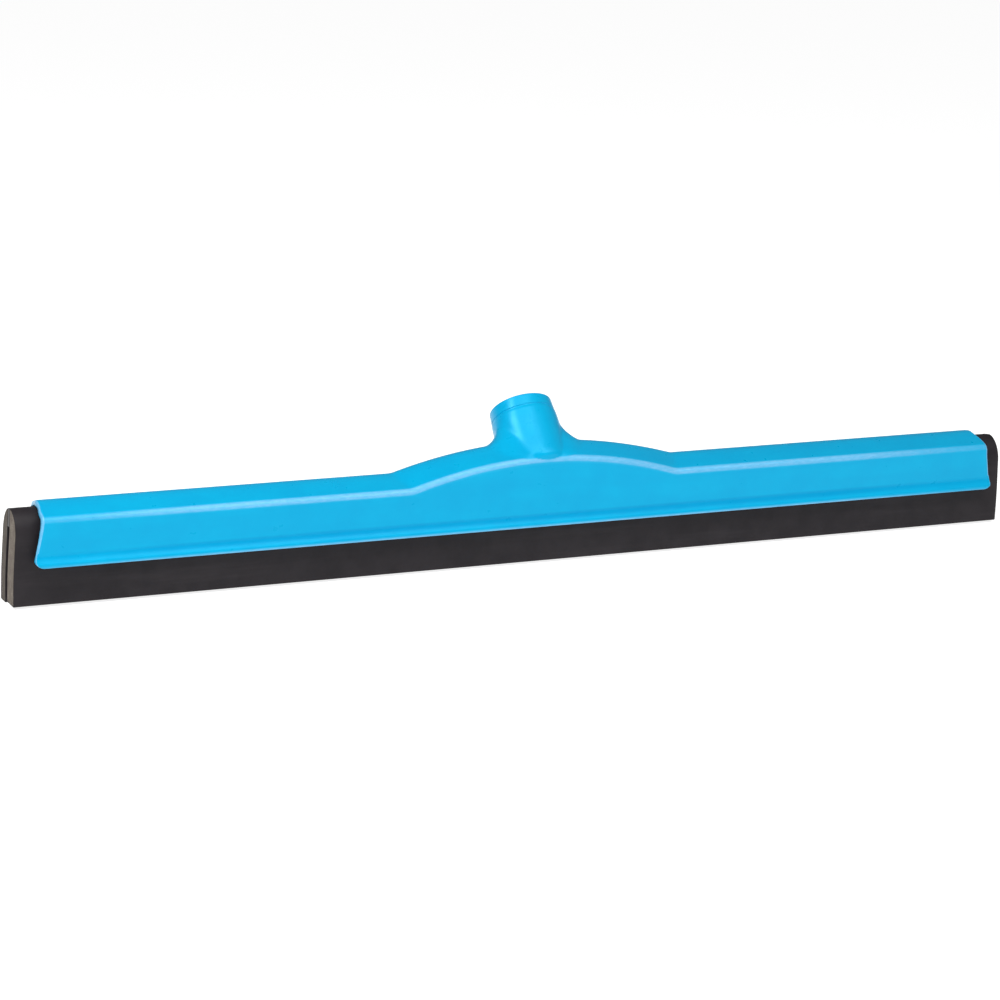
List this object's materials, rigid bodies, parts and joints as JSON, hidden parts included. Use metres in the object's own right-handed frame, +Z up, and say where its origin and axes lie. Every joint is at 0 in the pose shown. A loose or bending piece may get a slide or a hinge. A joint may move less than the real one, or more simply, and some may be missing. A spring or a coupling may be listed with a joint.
{
  "type": "floor squeegee head",
  "caption": "Moulded floor squeegee head with a tilted handle socket and a slide-in cassette of two cellular-rubber blades.",
  "frame": {"origin": "bottom centre of the whole head's box, level with the rear blade's wiping edge", "axes": "+X along the blades, +Y to the side that the handle socket leans to, +Z up"},
  "size_m": [0.6, 0.0522, 0.0923],
  "materials": {
    "frame_plastic": "satin",
    "core_plastic": "matte",
    "cellular_rubber": "matte"
  },
  "bodies": {
    "frame": {"squeegee_frame": "frame_plastic"},
    "cassette": {"cassette_core": "core_plastic", "front_blade_heel": "cellular_rubber", "rear_blade_heel": "cellular_rubber"},
    "front_edge": {"front_blade_edge": "cellular_rubber"},
    "rear_edge": {"rear_blade_edge": "cellular_rubber"}
  },
  "joints": [
    {"name": "cassette_slide", "type": "slide", "parent": "frame", "child": "cassette", "axis": [1, 0, 0], "range_m": [0, 0.6]},
    {"name": "front_blade_flex", "type": "hinge", "parent": "cassette", "child": "front_edge", "pos_m": [0, -0.01304, 0.017], "axis": [1, 0, 0], "range_deg": [-15, 15], "stiffness_Nm_per_rad": 3},
    {"name": "rear_blade_flex", "type": "hinge", "parent": "cassette", "child": "rear_edge", "pos_m": [0, -0.00014, 0.017], "axis": [1, 0, 0], "range_deg": [-15, 15], "stiffness_Nm_per_rad": 1.5}
  ],
  "couplings": [
    {"joint": "rear_blade_flex", "follows": "front_blade_flex", "ratio": 1}
  ]
}
